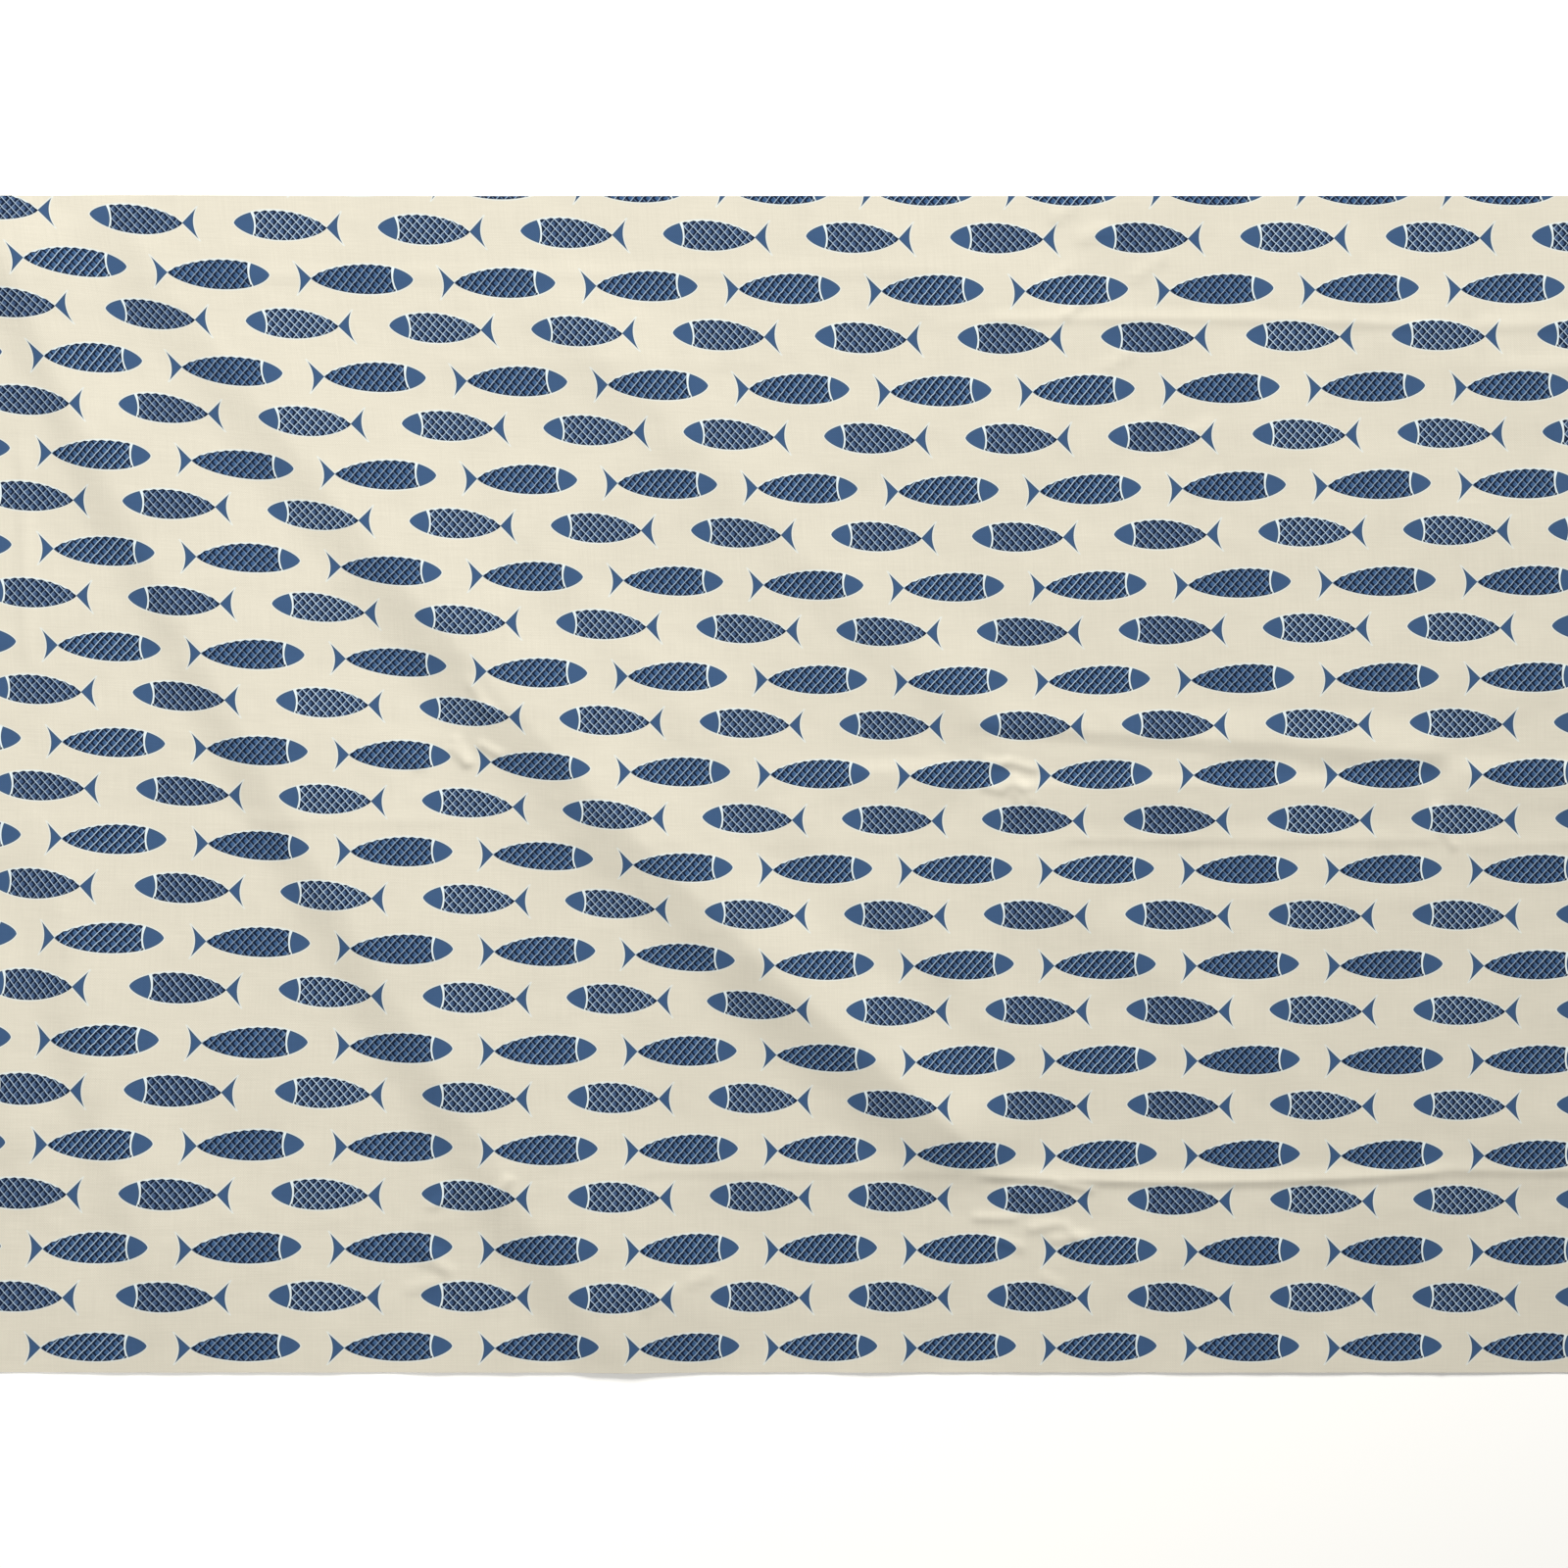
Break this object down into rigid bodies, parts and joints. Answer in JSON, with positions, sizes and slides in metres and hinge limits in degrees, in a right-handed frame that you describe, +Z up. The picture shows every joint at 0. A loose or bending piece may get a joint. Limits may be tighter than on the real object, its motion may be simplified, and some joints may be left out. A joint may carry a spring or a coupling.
{
  "type": "printed cotton cloth",
  "caption": "Cut length of plain-woven cotton cloth, cream with a repeat print of small blue fish, lying flat with soft slack folds.",
  "frame": {"origin": "on the surface the cloth lies on, under the middle of the cloth's outline", "axes": "+X runs across the cloth from the left selvedge to the right one, +Y along its length towards the upper cut edge, +Z up out of its printed face"},
  "size_m": [1.1, 0.784, 0.0092],
  "materials": {
    "printed_cotton": "plain-woven cotton, cream ground, printed with rows of small blue fish with white-lined scales, dull"
  },
  "bodies": {
    "root": {"printed_cloth": "printed_cotton"}
  },
  "joints": []
}
